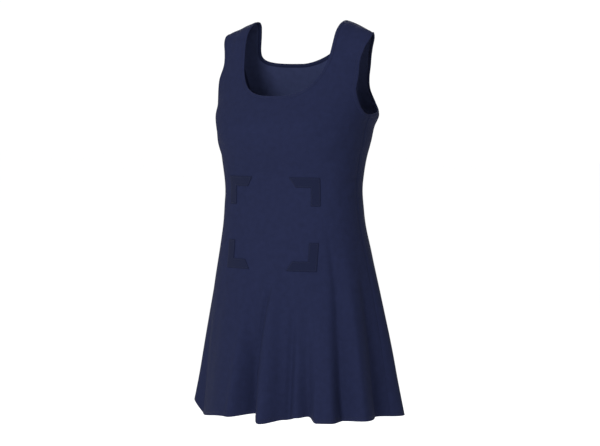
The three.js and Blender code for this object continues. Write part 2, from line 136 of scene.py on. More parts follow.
# The front and back panels. Each is cut in one piece from shoulder to hem, from a navy polyester
# and elastane double knit, close on the body and flared below the waist, and sewn to the other
# down the sides and over the shoulders. Sizes in millimetres; the form is that of the solids.
DRESS_LENGTH = 822
NECK_HALF = 107
# A neckline's drop at the centre, how full its curve is on the wearer's right and left half, and
# how far it swells at its corners and is pulled to one side
FRONT_NECK = {"drop": 156, "right": 0.66, "left": 0.66, "bulge": 0, "skew": 0}
BACK_NECK = {"drop": 90, "right": 0.54, "left": 1.25, "bulge": 12, "skew": -24}
KNIT_THICKNESS = 1.6
SHOULDER_FALL = 0.36  # how steeply the shoulders fall beyond the neck points
SHOULDER_ROUND = 0.0012  # and how much more with each millimetre outwards
SHOULDER_LEAN = 0.21  # how far they lean forwards as they fall
SHOULDER_SOFT = 20  # how gently the fall begins
FLUTE_GROWTH = 1.2  # 1 is a flute that grows evenly down to the hem
FRONT, BACK = -1, 1
STEP = 0.02  # levels or degrees, for measuring slopes


def table(columns, rows):
    """A table of numbers with named columns."""
    return {name: np.array(values, float) for name, values in zip(columns.split(), zip(*rows))}


# Levels from the hem up to the ridge of the shoulders. half: half the width. front and back: how far
# the middle of each panel stands off the plane of the shoulders, at Y 0. mid: Y of the widest line.
# square: how much fuller than an oval the section is. slope: its share of the shoulders' fall.
FORM = table("down half front back mid square square_back slope", [
    (822, 221, 176, 160, -10, 0.04, 0.04, 0),
    (752, 212, 170, 144, -13, 0.05, 0.05, 0),
    (680, 204, 162, 128, -17, 0.06, 0.06, 0),
    (608, 194, 153, 110, -22, 0.07, 0.07, 0),
    (540, 183, 142, 94, -27, 0.08, 0.08, 0),
    (476, 170, 133, 78, -31, 0.10, 0.09, 0),
    (424, 160, 127, 66, -35, 0.12, 0.10, 0),
    (384, 156, 124, 60, -37, 0.13, 0.11, 0),
    (348, 154, 123, 58, -38, 0.13, 0.11, 0),
    (314, 156, 127, 63, -38, 0.14, 0.12, 0),
    (282, 160, 137, 70, -37, 0.13, 0.13, 0),
    (250, 167, 147, 77, -35, 0.13, 0.15, 0),
    (220, 171, 150, 80, -33, 0.13, 0.19, 0),
    (194, 178, 138, 77, -30, 0.12, 0.28, 0.02),
    (168, 177, 121, 70, -33, 0.09, 0.21, 0.08),
    (140, 178, 104, 60, -40, 0.05, 0.12, 0.20),
    (112, 183, 88, 48, -33, 0.03, 0.07, 0.42),
    (80, 188, 76, 34, -11, 0, 0.04, 0.70),
    (48, 190, 66, 23, -1, 0, 0, 0.90),
    (24, 190, 53, 16, 0, 0, 0, 1),
    (7, 190, 30, 11, 0, 0, 0, 1),
    (0, 190, 0, 0, 0, 0, 0, 1),
])
RIDGE = len(FORM["down"]) - 1

# Crests and troughs of the skirt. at: degrees round from the centre front to the wearer's left.
# push: how far the hem stands out there. top: where the flute starts. lift: how far the hem rises.
FLUTES = table("at push top lift", [
    (-100, -14, 450, 10),
    (-78, 18, 560, 26),
    (-66, 16, 560, 20),
    (-54, -1, 500, -4),
    (-16, 13, 500, 8),
    (-6, -20, 490, 17),
    (4, 20, 490, 1),
    (14, -15, 510, 10),
    (22, -8, 530, 16),
    (28, -18, 550, 19),
    (34, 15, 550, 8),
    (42, 19, 540, 8),
    (51, -14, 430, 11),
    (63, 16, 430, 10),
    (81, -15, 430, 14),
    (99, 16, 450, 8),
    (116, -14, 470, 12),
    (134, 16, 500, 7),
    (150, -14, 520, 14),
    (167, 17, 540, 6),
    (184, -14, 560, 12),
    (201, 15, 540, 7),
    (218, -15, 500, 13),
    (238, 16, 480, 8),
])

# Soft creases, each from one end to the other. at and down: degrees round and millimetres down.
# bow: how far its middle strays sideways. wide: its half width. deep: negative for a trough.
CREASES = table("at down to_at to_down bow wide deep", [
    # Shoulders
    (47, -6, 50, 74, 4, 13, -3),
    (64, -4, 63, 70, -3, 10, 2.2),
    (-50, -6, -52, 66, 4, 13, -2.4),
    # Under the arms and across the front of the waist
    (66, 214, 30, 262, 6, 13, -1.8),
    (74, 236, 44, 300, -5, 12, -1.5),
    (-66, 218, -38, 268, 5, 13, -1.7),
    (-74, 250, -50, 316, -4, 11, -1.3),
    (96, 322, 62, 348, 4, 9, -1.6),
    (104, 352, 74, 366, -3, 8, -1.5),
    (92, 388, 60, 372, 3, 8, -1.2),
    (-98, 330, -64, 346, 4, 9, -1.5),
    (-90, 372, -62, 360, -3, 8, -1.2),
    (18, 300, 52, 330, 5, 15, -1.0),
    (-18, 306, -48, 338, -5, 15, -1.0),
    # Across the back
    (150, 336, 206, 344, 5, 9, -1.8),
    (158, 366, 196, 360, -4, 8, -1.6),
    (204, 392, 164, 388, 3, 9, -1.3),
    (134, 300, 160, 322, 4, 11, -1.2),
    (226, 304, 204, 324, -4, 11, -1.2),
    (118, 236, 146, 282, 6, 14, -1.6),
    (242, 240, 218, 286, -6, 14, -1.6),
    # Front of the skirt
    (3, 536, -3, 724, 3, 6, -10),
    (-5, 650, -9, 1000, -2, 10, -11),
    (-14, 600, -17, 960, 2, 9, 2.4),
    (-11, 610, -20, 980, -2, 10, 3),
    (19, 585, 14, 960, -2, 8, -9),
    (34, 586, 27, 960, -3, 8, -4),
    (23, 610, 21, 960, 2, 8, 1.5),
    (47, 440, 49, 640, -3, 7, -2.4),
    (52, 600, 52, 980, 0, 8, 3.5),
    (77, 520, 82, 980, 3, 15, -4),
    (62, 540, 64, 960, 3, 12, 2),
    (-36, 520, -40, 780, 4, 16, -1.5),
    (-52, 600, -58, 960, 3, 12, -2.5),
    # Back of the skirt and its sides
    (116, 560, 119, 980, -3, 9, -4),
    (126, 600, 127, 960, 2, 9, 2),
    (138, 440, 141, 640, 3, 8, -2),
    (151, 540, 154, 980, 3, 10, -5.5),
    (161, 620, 163, 960, -2, 8, 2.4),
    (172, 590, 171, 960, 2, 8, -2.4),
    (184, 520, 188, 990, -3, 9, -5.5),
    (196, 610, 197, 960, 2, 9, 2.6),
    (207, 460, 204, 660, 2, 8, -2),
    (219, 530, 222, 980, 3, 11, -5),
    (231, 600, 232, 960, -2, 8, 2.2),
    (247, 520, 251, 980, 3, 13, -3.8),
    (-92, 560, -95, 980, 3, 12, -3),
])

# Sewn seams draw the cloth in. The shoulder seam's spread is counted in levels.
SEAM_DEPTH = 1.1
SEAM_SPREAD = 2.6
SHOULDER_SEAM_SPREAD = 0.10

# Finished armhole edges, from the shoulder down to the side seam; turn in degrees from the
# middle of the panel
UNDERARM = 192
FRONT_ARMHOLE = table("down turn", [
    (0, 71.5), (38, 64), (72, 61.5), (108, 66.5), (142, 70.5), (170, 75.5), (187, 82), (UNDERARM, 90),
])
BACK_ARMHOLE = table("down turn", [
    (0, 71.5), (38, 63.5), (72, 58.5), (108, 56.5), (140, 56), (165, 59.5), (182, 66), (190, 77),
    (UNDERARM, 90),
])


def curve_through(values, place):
    """A smooth curve through values, with one more at either end, at places counted from the second."""
    start = np.floor(place).astype(int)
    share = place - start
    a, b, c, d = (values[np.clip(start + k, 0, len(values) - 1)] for k in range(4))
    bend = 2 * a - 5 * b + 4 * c - d + (3 * (b - c) + d - a) * share
    return b + 0.5 * share * (c - a + share * bend)


def carried_on(name, column):
    """A column carried on straight below the hem, and over the ridge to the other side."""
    over = -column[-2:-4:-1] if name in ("front", "back") else column[-2:-4:-1]
    return np.concatenate([[2 * column[0] - column[1]], column, over])


FORM_CURVES = {name: carried_on(name, column) for name, column in FORM.items()}
FINE_LEVELS = np.linspace(0, RIDGE, 6001)
FINE_DOWNS = curve_through(FORM_CURVES["down"], FINE_LEVELS)


def level_of(down):
    return np.interp(-np.asarray(down, float), -FINE_DOWNS, FINE_LEVELS)


def beyond_neck(x):
    """How far out from the neck point a width is, with a soft start."""
    out = np.abs(x) - NECK_HALF
    return (out + np.hypot(out, SHOULDER_SOFT) - SHOULDER_SOFT) / 2


def form_point(level, turn, side):
    """The plain form under the flutes and creases."""
    row = {name: curve_through(column, level) for name, column in FORM_CURVES.items()}
    sine, cosine = np.sin(np.radians(turn)), np.cos(np.radians(turn))
    square = row["square"] if side == FRONT else row["square_back"]
    reach = row["front"] + row["mid"] if side == FRONT else row["back"] - row["mid"]
    x = row["half"] * sine * (1 + square * cosine**2)
    out = beyond_neck(x)
    y = row["mid"] + side * reach * cosine * (1 + square * sine**2)
    fall = out * (SHOULDER_FALL + out * SHOULDER_ROUND)
    return np.stack([x, y - row["slope"] * out * SHOULDER_LEAN, -row["down"] - row["slope"] * fall], -1)


def slopes(surface, level, turn, side):
    """How a surface runs up and across at each place, and its direction outwards."""
    up = (surface(level + STEP, turn, side) - surface(level - STEP, turn, side)) / (2 * STEP)
    across = (surface(level, turn + STEP, side) - surface(level, turn - STEP, side)) / (2 * STEP)
    out = side * np.cross(up, across)
    return up, across, out / np.linalg.norm(out, axis=-1, keepdims=True)


def flutes_at(around, down):
    """How far the flutes push the cloth out and lift it."""
    starts = FLUTES["at"] - FLUTES["at"][0]
    ends = np.append(starts[1:], 360)
    angle = (around - FLUTES["at"][0]) % 360
    one = np.clip(np.searchsorted(starts, angle, side="right") - 1, 0, len(starts) - 1)
    two = (one + 1) % len(starts)
    share = (angle - starts[one]) / (ends[one] - starts[one])
    soft = (1 - np.cos(math.pi * share)) / 2
    grown = [
        np.maximum(0, (down - FLUTES["top"][k]) / (DRESS_LENGTH - FLUTES["top"][k])) ** FLUTE_GROWTH
        for k in (one, two)
    ]
    pushes = [FLUTES["push"][k] * g for k, g in zip((one, two), grown)]
    lifts = [FLUTES["lift"][k] * g * g for k, g in zip((one, two), grown)]
    return [a + (b - a) * soft for a, b in (pushes, lifts)]


# Millimetres of cloth to a degree round, for each level
TURNS = np.linspace(0, 90, 46)
ROW_LEVELS = np.arange(RIDGE + 1.0)
degree_lengths = []
for side in (FRONT, BACK):
    arcs = form_point(ROW_LEVELS[:, None], TURNS[None, :], side)
    degree_lengths.append(np.linalg.norm(np.diff(arcs, axis=1), axis=-1).sum(1) / 90)
DEGREE_LENGTH = np.mean(degree_lengths, axis=0)


def creases_at(around, down):
    """How far the creases move the cloth out."""
    total = np.zeros_like(down)
    for k in range(len(CREASES["at"])):
        at, start, to_at, end, bow, wide, deep = (CREASES[name][k] for name in CREASES)
        degree = np.interp(level_of((start + end) / 2), ROW_LEVELS, DEGREE_LENGTH)
        x = ((around - at + 180) % 360 - 180) * degree
        y = down - start
        run_x, run_y = (to_at - at) * degree, end - start
        run = math.hypot(run_x, run_y)
        share = np.clip((x * run_x + y * run_y) / run**2, 0, 1)
        ease = np.sin(math.pi * share)
        aside_x = x - share * run_x + bow * ease * run_y / run
        aside_y = y - share * run_y - bow * ease * run_x / run
        total += deep * np.sqrt(ease) * np.exp(-(aside_x**2 + aside_y**2) / wide**2)
    return total


def cloth_surface(level, turn, side):
    """The outer face of the cloth, with its flutes, creases and sunken seams."""
    level, turn = np.broadcast_arrays(np.asarray(level, float), np.asarray(turn, float))
    around = turn if side == FRONT else 180 - turn
    down = curve_through(FORM_CURVES["down"], level)
    push, lift = flutes_at(around, down)
    push = push + creases_at(around, down)
    from_seam = (90 - np.abs(turn)) * np.interp(level, ROW_LEVELS, DEGREE_LENGTH)
    push = push - SEAM_DEPTH * np.exp(-((from_seam / SEAM_SPREAD) ** 2))
    push = push - SEAM_DEPTH * np.exp(-(((RIDGE - level) / SHOULDER_SEAM_SPREAD) ** 2))
    point = form_point(level, turn, side) + push[..., None] * slopes(form_point, level, turn, side)[2]
    point[..., 2] += lift
    return point


def cloth_point(places, side, out=0.0):
    """Points a distance out of the cloth at places, an array of pairs of level and turn."""
    level, turn = places[..., 0], places[..., 1]
    direction = slopes(cloth_surface, level, turn, side)[2]
    return cloth_surface(level, turn, side) + np.asarray(out)[..., None] * direction


def even_marks(line, count, side):
    """Marks along a line of places, counted in its steps and evenly spaced over the cloth."""
    points = cloth_surface(line[:, 0], line[:, 1], side)
    along = np.concatenate([[0], np.cumsum(np.linalg.norm(np.diff(points, axis=0), axis=1))])
    return np.interp(np.linspace(0, along[-1], count + 1), along, np.arange(len(line)))


def place_at(line, marks):
    steps = np.arange(len(line))
    return np.stack([np.interp(marks, steps, line[:, 0]), np.interp(marks, steps, line[:, 1])], -1)


def aside(line, distance, side):
    """A line of places moved sideways over the cloth, to the left of its run from outside."""
    points = form_point(line[:, 0], line[:, 1], side)
    ends = (points[1] - points[0], points[-1] - points[-2])
    run = np.vstack([ends[0], points[2:] - points[:-2], ends[1]])
    up, across, out = slopes(form_point, line[:, 0], line[:, 1], side)
    move = np.cross(out, run)
    move *= distance / np.linalg.norm(move, axis=1, keepdims=True)
    uu, aa, ua = (up * up).sum(1), (across * across).sum(1), (up * across).sum(1)
    mu, ma = (move * up).sum(1), (move * across).sum(1)
    area = uu * aa - ua**2
    return line + np.stack([(mu * aa - ma * ua) / area, (ma * uu - mu * ua) / area], -1)


CURVE_SAMPLES = 240
FINE_TURNS = np.linspace(-90, 90, 1801)


def neck_edge(side, mirror):
    """The finished neck edge on one half, from the centre to the shoulder."""
    cut = FRONT_NECK if side == FRONT else BACK_NECK
    power = cut["left" if mirror > 0 else "right"]
    angle = np.linspace(math.pi / 2, 0, CURVE_SAMPLES + 1)
    width = NECK_HALF * np.cos(angle).clip(0) ** power + cut["bulge"] * np.sin(2 * angle)
    width += mirror * cut["skew"] * np.sin(angle) ** 2
    level = level_of(cut["drop"] * np.sin(angle) ** power)
    turn = [
        np.interp(x, form_point(np.full_like(FINE_TURNS, at), FINE_TURNS, side)[:, 0], FINE_TURNS)
        for at, x in zip(level, width)
    ]
    return np.stack([level, turn], -1)


NECK_EDGES = {(side, mirror): neck_edge(side, mirror) for side in (FRONT, BACK) for mirror in (1, -1)}


def neck_line(side, mirror, distance):
    """The neck edge moved a distance out of the opening."""
    moved = aside(NECK_EDGES[side, mirror], side * distance, side)
    moved[0, 1] = NECK_EDGES[side, mirror][0, 1]
    moved[-1, 0] = RIDGE
    return moved


def armhole_line(side, mirror, distance):
    """The armhole edge on one half from the side seam to the shoulder, a distance in from it."""
    cut = FRONT_ARMHOLE if side == FRONT else BACK_ARMHOLE
    down = np.concatenate([[-cut["down"][1]], cut["down"], [cut["down"][-2]]])
    turn = np.concatenate([[cut["turn"][1]], cut["turn"], [180 - cut["turn"][-2]]])
    place = np.linspace(len(cut["down"]) - 1, 0, CURVE_SAMPLES + 1)
    level = level_of(np.maximum(0, curve_through(down, place)))
    moved = aside(np.stack([level, curve_through(turn, place)], -1), -side * distance, side)
    moved[0, 1] = 90
    moved[-1, 0] = RIDGE
    return moved


NECK_COLUMNS = 44
STRAP_COLUMNS = 26
ARMHOLE_COLUMNS = 28
STRAP_ROWS = 44
CENTRE_LEAN = 6
BINDING_WIDTH = 8
TUCK = 5.5


def edge_places(line_of, columns, side, mirror, distance):
    """Places along an edge as far as the foot of the strap, and on along the strap."""
    guide = line_of(side, mirror, BINDING_WIDTH)
    line = line_of(side, mirror, distance)
    split = CURVE_SAMPLES // 2
    low = even_marks(guide[:split + 1], columns, side)
    high = even_marks(guide[split:], STRAP_ROWS, side) + split
    return place_at(line, low), place_at(line, high)


def between(bottom, top, left, right):
    """A grid of places between four sides that meet at their ends."""
    u = np.linspace(0, 1, len(bottom))[None, :, None]
    v = np.linspace(0, 1, len(left))[:, None, None]
    across = (1 - v) * bottom[None] + v * top[None]
    along = (1 - u) * left[:, None] + u * right[:, None]
    corners = (1 - v) * ((1 - u) * bottom[0] + u * bottom[-1]) + v * ((1 - u) * top[0] + u * top[-1])
    return across + along - corners


# Fine rows over the hem, then even ones up to the top of the body
HEM_ROWS = np.linspace(0, 0.03, 11)
BODY_SHARES = np.concatenate([HEM_ROWS, np.linspace(0.03, 1, 150)[1:]])


def stretched(grid, shares):
    """The rows of an even grid, taken at other shares of its height."""
    at = shares * (len(grid) - 1)
    low = np.minimum(at.astype(int), len(grid) - 2)
    return grid[low] + (at - low)[:, None, None] * (grid[low + 1] - grid[low])


def half_panel(side, mirror):
    """Half a panel as places: the body up to the neck, strap and armhole, and the strap."""
    neck_low, neck_high = edge_places(neck_line, NECK_COLUMNS, side, mirror, TUCK)
    arm_low, arm_high = edge_places(armhole_line, ARMHOLE_COLUMNS, side, mirror, TUCK)
    foot = place_at(np.stack([neck_high[0], arm_high[0]]), np.linspace(0, 1, STRAP_COLUMNS + 1))
    end = place_at(np.stack([neck_high[-1], arm_high[-1]]), np.linspace(0, 1, STRAP_COLUMNS + 1))
    top = np.concatenate([neck_low, foot[1:], arm_low[:-1][::-1]])
    share = np.linspace(0, 1, 161)
    centre = np.stack([neck_low[0, 0] * share, neck_low[0, 1] * share**CENTRE_LEAN], -1)
    side_seam = np.stack([arm_low[0, 0] * share, np.full_like(share, 90)], -1)
    hem = np.stack([np.zeros(len(top)), np.linspace(0, 90, len(top))], -1)
    body = stretched(between(hem, top, centre, side_seam), BODY_SHARES)
    return body, between(foot, end, neck_high, arm_high)


def panel_grid(side):
    """The places of a whole panel, and its quads."""
    right_body, right_strap = half_panel(side, -1)
    left_body, left_strap = half_panel(side, 1)
    flip = np.array([1, -1])
    body = np.concatenate([(right_body * flip)[:, :0:-1], left_body], axis=1)
    names = np.arange(body.shape[0] * body.shape[1]).reshape(body.shape[:2])
    places, grids = [body.reshape(-1, 2)], [names]
    middle = left_body.shape[1] - 1
    for strap, turned in ((right_strap, -1), (left_strap, 1)):
        foot = names[-1, middle + turned * np.arange(NECK_COLUMNS, NECK_COLUMNS + STRAP_COLUMNS + 1)]
        start = sum(len(p) for p in places)
        rest = np.arange(start, start + strap[1:].shape[0] * strap.shape[1]).reshape(-1, strap.shape[1])
        places.append(strap[1:].reshape(-1, 2) * (1, turned))
        grid = np.vstack([foot, rest])
        grids.append(grid if turned > 0 else grid[:, ::-1])
    return np.concatenate(places), np.concatenate([quads_of(grid) for grid in grids])


def quads_of(grid):
    """The quads of a grid of names."""
    return np.stack([grid[:-1, :-1], grid[:-1, 1:], grid[1:, 1:], grid[1:, :-1]], -1).reshape(-1, 4)


def closed_sheet(outer, inner, quads):
    """Points and faces of a sheet with two faces, closed along its free edges."""
    count = len(outer)
    edges = np.concatenate([quads[:, [k, (k + 1) % 4]] for k in range(4)])
    free = ~np.isin(edges[:, 0] * count + edges[:, 1], edges[:, 1] * count + edges[:, 0])
    start, end = edges[free].T
    rim = np.stack([end, start, start + count, end + count], -1)
    return np.concatenate([outer, inner]), np.concatenate([quads, quads[:, ::-1] + count, rim])


def add_piece(name, points, faces, flat, material, crisp=45):
    """A mesh object from points and flat pattern places in millimetres, smooth but at its folds."""
    corners = points[faces[:, :3]]
    volume = (corners[:, 0] * np.cross(corners[:, 1], corners[:, 2])).sum()
    faces = faces if volume > 0 else faces[:, ::-1]
    mesh = bpy.data.meshes.new(name)
    mesh.from_pydata((points * MM).tolist(), [], faces.tolist())
    layer = mesh.uv_layers.new(name="cut")
    layer.data.foreach_set("uv", (flat[faces.reshape(-1)] * MM).reshape(-1))
    mesh.polygons.foreach_set("use_smooth", np.ones(len(faces), bool))
    mesh.set_sharp_from_angle(angle=math.radians(crisp))
    mesh.materials.append(material)
    made = bpy.data.objects.new(name, mesh)
    bpy.context.scene.collection.objects.link(made)
    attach(made, "root")
    return made


# Polyester and elastane double knit: it gives the eye a matt, even navy with fine columns of
# stitches close up. Its inner face, which shows in the neck, is painted a shade lighter than the
# outer: painted light, standing in for light on the inside of the dress, which lies in shade.
# The stitches are drawn about twice as coarse as the real 0.6 mm, so that a close view shows them.
WALE_SPACING = 1.3
COURSE_SPACING = 1.1
MOTTLE_SCALE = 90.0


def knit_material(name, color, relief):
    """Rows and columns of small uneven loops, on a navy that is faintly mottled."""
    made = new_material(name)
    tree = made.node_tree
    cut = add_node(tree, "ShaderNodeUVMap", {"uv_map": "cut"})
    wales = add_node(tree, "ShaderNodeTexWave", {
        "bands_direction": "X", "wave_profile": "SIN", "Scale": 100 * math.pi / WALE_SPACING,
        "Distortion": 0.6, "Detail": 1.0, "Detail Scale": 3.0,
    }, {"Vector": cut.outputs[0]})
    courses = add_node(tree, "ShaderNodeTexWave", {
        "bands_direction": "Y", "wave_profile": "SIN", "Scale": 100 * math.pi / COURSE_SPACING,
        "Distortion": 0.8, "Detail": 1.0, "Detail Scale": 3.0,
    }, {"Vector": cut.outputs[0]})
    loops = add_node(tree, "ShaderNodeMath", {"operation": "MULTIPLY"})
    tree.links.new(wales.outputs["Fac"], loops.inputs[0])
    tree.links.new(courses.outputs["Fac"], loops.inputs[1])
    place = add_node(tree, "ShaderNodeTexCoord")
    mottle = add_node(tree, "ShaderNodeTexNoise", {
        "Scale": MOTTLE_SCALE, "Detail": 3.0, "Roughness": 0.6,
    }, {"Vector": place.outputs["Object"]})
    shade = add_node(tree, "ShaderNodeValToRGB", links={"Fac": mottle.outputs["Fac"]})
    base = hex_color(color)
    shade.color_ramp.elements[0].position = 0.25
    shade.color_ramp.elements[0].color = (*[c * 0.90 for c in base[:3]], 1)
    shade.color_ramp.elements[1].position = 0.75
    shade.color_ramp.elements[1].color = (*[c * 1.10 for c in base[:3]], 1)
    bump = add_node(tree, "ShaderNodeBump", {"Strength": relief, "Distance": 0.0003},
                    {"Height": loops.outputs[0]})
    cloth = add_node(tree, "ShaderNodeBsdfPrincipled", {
        "Roughness": 0.85, "IOR": 1.5, "Specular IOR Level": 0.04,
    }, {"Base Color": shade.outputs["Color"], "Normal": bump.outputs["Normal"]})
    add_node(tree, "ShaderNodeOutputMaterial", links={"Surface": cloth.outputs[0]})
    return made


navy_knit = knit_material("polyester_double_knit", "#13172c", 0.5)
# Painted light: the inner face is lighter than the outer so that the shaded inside of the dress reads
# bright
inner_knit_painted_light = knit_material("polyester_double_knit_inner_face_painted_light", "#22273f", 0.4)

# The turned-up hem is a second layer inside, this high and this thick once sewn flat
HEM_HEIGHT = 20
HEM_LAYER = 1.1
PANEL_LENGTH = np.concatenate([[0], np.cumsum(np.hypot(np.diff(FORM["down"]), np.diff(FORM["front"])))])


def flat_places(places):
    """Where places lie on the cut, across from its middle and up from its hem."""
    across = places[:, 1] * np.interp(places[:, 0], ROW_LEVELS, DEGREE_LENGTH)
    return np.stack([across, np.interp(places[:, 0], ROW_LEVELS, PANEL_LENGTH)], -1)


for name, side in (("front_panel_cloth", FRONT), ("back_panel_cloth", BACK)):
    places, quads = panel_grid(side)
    flat = flat_places(places)
    inner_depth = -KNIT_THICKNESS - HEM_LAYER * (flat[:, 1] < HEM_HEIGHT)
    outer = cloth_point(places, side)
    inner = cloth_point(places, side, inner_depth)
    points, faces = closed_sheet(outer, inner, quads)
    made = add_piece(name, points, faces, np.concatenate([flat, flat]), navy_knit)
    made.data.materials.append(inner_knit_painted_light)
    kinds = np.zeros(len(faces), int)
    kinds[len(quads):2 * len(quads)] = 1
    made.data.polygons.foreach_set("material_index", kinds)
    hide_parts(name.replace("_cloth", ""))

# The bindings. Strips of the same knit, folded over the raw edge of the neck and of each
# armhole and stitched down, so that they lie a little proud of the cloth on both faces.
BINDING_PROUD = 0.5
BINDING_CORNER = 0.5
BINDING_CROWN = 0.15
FOLD_REACH = 0.8
NECK_RUN = 60
ARMHOLE_RUN = 40


def binding_section():
    """Across the strip and out of the cloth's outer face, round the folded strip."""
    outside, inside = BINDING_PROUD, -KNIT_THICKNESS - BINDING_PROUD
    middle = (outside + inside) / 2
    thick = (outside - inside) / 2
    bend = np.radians(np.linspace(90, 270, 9))
    fold = np.stack([thick * (1 + np.cos(bend)) * FOLD_REACH, middle + thick * np.sin(bend)], -1)
    last = BINDING_WIDTH
    ends = [
        (last - BINDING_CORNER, inside),
        (last, inside + BINDING_CORNER),
        (last, outside - BINDING_CORNER),
        (last - BINDING_CORNER, outside),
        (last / 2, outside + BINDING_CROWN),
    ]
    return np.concatenate([fold, [(last / 2, inside)], ends])


def edge_run(line_of, side, mirror, distance, count):
    """Places along an edge from one end of a panel's half to the other."""
    line = line_of(side, mirror, distance)
    guide = line_of(side, mirror, BINDING_WIDTH)
    return place_at(line, even_marks(guide, count, side))


def strip_rings(line_of, side, mirror, count, section):
    """Rings of a strip's section along an edge, from the panel's middle or side to the shoulder."""
    rings = []
    for across, out in section:
        places = edge_run(line_of, side, mirror, across, count) * (1, mirror)
        rings.append(cloth_point(places, side, np.full(count + 1, out)))
    return np.stack(rings, 1)


def closed_loop(name, parts, section, material):
    """A strip through rings that close on themselves. Each part is a run of rings."""
    rings = np.concatenate([part[:-1] for part in parts])
    count, corners = rings.shape[:2]
    names = np.arange(count * corners).reshape(count, corners)
    names = np.vstack([names, names[:1]])
    names = np.hstack([names, names[:, :1]])
    steps = np.linalg.norm(np.diff(rings[:, 0], axis=0), axis=1)
    along = np.concatenate([[0], np.cumsum(steps)])
    flat = np.stack([np.repeat(along, corners), np.tile(section[:, 0], count)], -1)
    return add_piece(name, rings.reshape(-1, 3), quads_of(names), flat, material, 60)


binding_knit = knit_material("folded_knit_binding", "#13172c", 0.4)
section = binding_section()


def neck_parts(count, section):
    quarter = {key: strip_rings(neck_line, *key, count, section) for key in
               ((FRONT, 1), (BACK, 1), (BACK, -1), (FRONT, -1))}
    return [quarter[FRONT, 1], quarter[BACK, 1][::-1], quarter[BACK, -1], quarter[FRONT, -1][::-1]]


def armhole_parts(mirror, count, section):
    halves = {side: strip_rings(armhole_line, side, mirror, count, section) for side in (FRONT, BACK)}
    return [halves[FRONT], halves[BACK][::-1]]


bindings = [closed_loop("neck_binding_strip", neck_parts(NECK_RUN, section), section, binding_knit)]
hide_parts("neck_binding")
for name, mirror in (("left", 1), ("right", -1)):
    strip = closed_loop(f"armhole_binding_strip_{name}", armhole_parts(mirror, ARMHOLE_RUN, section),
                        section, binding_knit)
    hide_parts(f"armhole_binding_{name}")
    bindings.append(strip)

# The stitching. Spun polyester thread in the cloth's own navy: one row along the inner edge of
# each binding, and a twin-needle row round the turned-up hem.
STITCH = 2.6
STITCH_PITCH = 3.4
THREAD = 0.34
BINDING_ROW = 6.2
ROW_LIFT = 0.12
HEM_ROWS_UP = (6.0, 9.0)

# Spun polyester thread: dull and tightly twisted, so the rows read as a fine line in the cloth
sewing_thread = new_material("spun_polyester_thread")
shader = add_node(sewing_thread.node_tree, "ShaderNodeBsdfPrincipled", {
    "Base Color": hex_color("#11152a"), "Roughness": 0.6, "IOR": 1.55, "Specular IOR Level": 0.1,
})
add_node(sewing_thread.node_tree, "ShaderNodeOutputMaterial", links={"Surface": shader.outputs[0]})

# Rings of a stitch from end to end, as shares of its length and of the thread's radius
STITCH_RINGS = np.array([(-0.5, 0.35), (-0.36, 0.95), (0.0, 1.0), (0.36, 0.95), (0.5, 0.35)])
STITCH_SIDES = 6


def stitches(name, rows, sunk=0.1):
    """Rows of stitches as one mesh. A row is points on the cloth and its directions outwards."""
    points, faces = [], []
    grid = np.arange(len(STITCH_RINGS) * STITCH_SIDES).reshape(-1, STITCH_SIDES)
    tube = quads_of(np.hstack([grid, grid[:, :1]]))
    caps = [grid[0, [0, 5, 4, 3]], grid[0, [0, 3, 2, 1]], grid[-1, [0, 1, 2, 3]], grid[-1, [0, 3, 4, 5]]]
    one = np.concatenate([tube, caps])
    turns = np.linspace(0, 2 * math.pi, STITCH_SIDES, endpoint=False)
    for line, outward in rows:
        steps = np.linalg.norm(np.diff(line, axis=0), axis=1)
        along = np.concatenate([[0], np.cumsum(steps)])
        count = int(along[-1] / STITCH_PITCH)
        middles = (np.arange(count) + 0.5) * along[-1] / count

        def at(where, values):
            return np.stack([np.interp(where, along, values[:, k]) for k in range(3)], -1)

        out = at(middles, outward)
        out /= np.linalg.norm(out, axis=1, keepdims=True)
        run = at(middles + 1, line) - at(middles - 1, line)
        run /= np.linalg.norm(run, axis=1, keepdims=True)
        across = np.cross(out, run)
        centre = at(middles, line) + out * (THREAD * 0.5 - sunk)
        for k in range(count):
            ring = (
                STITCH_RINGS[:, 0, None, None] * STITCH * run[k]
                + STITCH_RINGS[:, 1, None, None] * THREAD * (
                    np.cos(turns)[None, :, None] * across[k] + np.sin(turns)[None, :, None] * out[k] * 0.8
                )
            )
            faces.append(one + len(points) * grid.size)
            points.append((centre[k] + ring).reshape(-1, 3))
    points, faces = np.concatenate(points), np.concatenate(faces)
    return add_piece(name, points, faces, points[:, [0, 2]], sewing_thread, 80)


def surface_row(places, side, out):
    """A row for stitching: points a distance out of the cloth and the directions outwards."""
    direction = slopes(cloth_surface, places[:, 0], places[:, 1], side)[2]
    return cloth_surface(places[:, 0], places[:, 1], side) + out * direction, direction


def joined(parts):
    """One row from runs that follow each other, each without its last point."""
    return tuple(np.concatenate([part[k][:-1] for part in parts]) for k in (0, 1))


def edge_row(line_of, side, mirror, count):
    places = edge_run(line_of, side, mirror, BINDING_ROW, count) * (1, mirror)
    return surface_row(places, side, BINDING_PROUD + ROW_LIFT)


def turned_back(row):
    return row[0][::-1], row[1][::-1]


